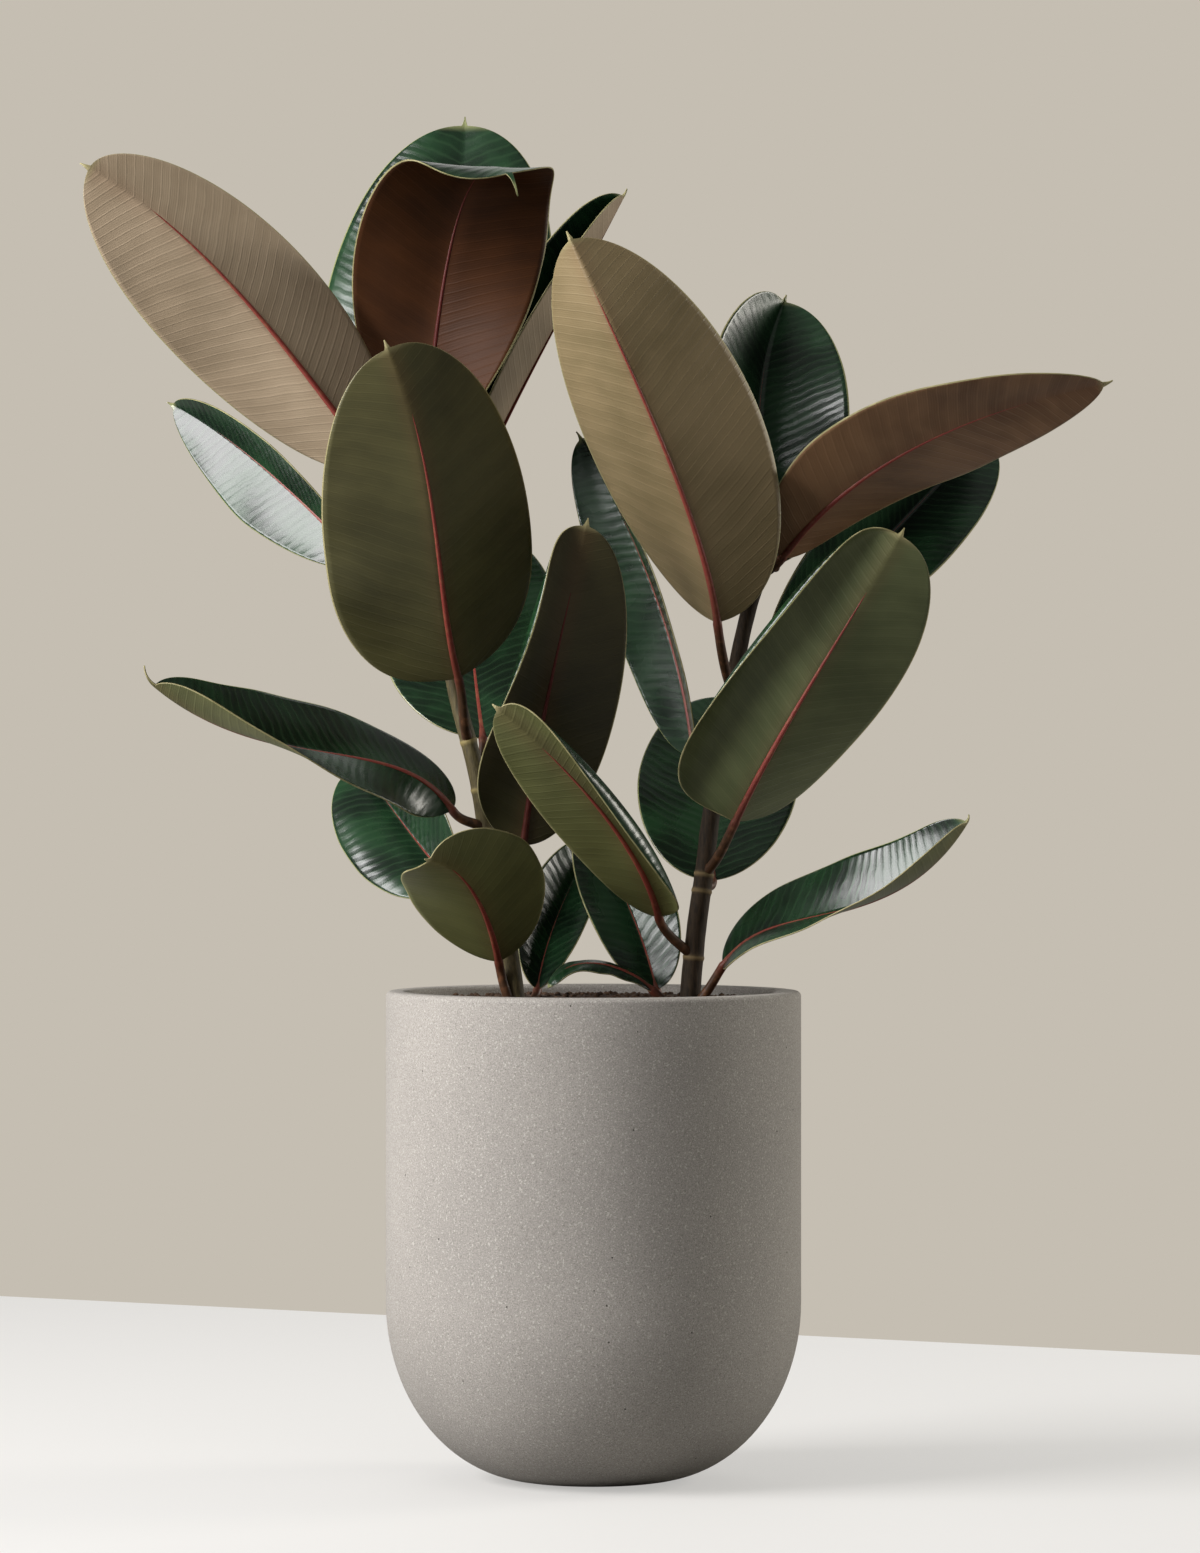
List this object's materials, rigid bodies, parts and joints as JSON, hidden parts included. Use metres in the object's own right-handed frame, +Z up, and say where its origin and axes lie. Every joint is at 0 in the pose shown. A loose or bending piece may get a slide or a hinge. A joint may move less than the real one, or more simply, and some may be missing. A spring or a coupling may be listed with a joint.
{
  "type": "potted rubber plant",
  "caption": "Broad-leaved rubber plant on upright stems, standing in a round straight-sided pot with a rounded bottom, filled with soil.",
  "frame": {"origin": "centre of the pot's flat base, where it stands on the floor", "axes": "+Z up along the pot's axis, +X to the right and -Y towards the viewer who sees both stems side by side"},
  "size_m": [0.6097, 0.2718, 0.8332],
  "materials": {
    "stoneware": "matte, fine speckle",
    "soil": "loose, damp",
    "stem": "smooth young bark",
    "leaf": "glossy above, satin below"
  },
  "bodies": {
    "root": {"pot": "stoneware", "soil": "soil", "stem_left": "stem", "stem_right": "stem", "leaf_left_high": "leaf", "leaf_left_pale": "leaf", "leaf_left_front": "leaf", "leaf_left_hooked": "leaf", "leaf_left_back_top": "leaf", "leaf_left_gutter": "leaf", "leaf_left_back_mid": "leaf", "leaf_left_inner": "leaf", "leaf_left_long": "leaf", "leaf_left_low_back": "leaf", "leaf_left_small": "leaf", "leaf_left_soil": "leaf", "leaf_right_front": "leaf", "leaf_right_back_top": "leaf", "leaf_right_high": "leaf", "leaf_right_back_side": "leaf", "leaf_right_olive": "leaf", "leaf_right_back_low": "leaf", "leaf_right_narrow": "leaf", "leaf_right_rolled": "leaf", "leaf_right_soil": "leaf", "leaf_right_arched": "leaf", "leaf_right_long": "leaf"}
  },
  "joints": []
}
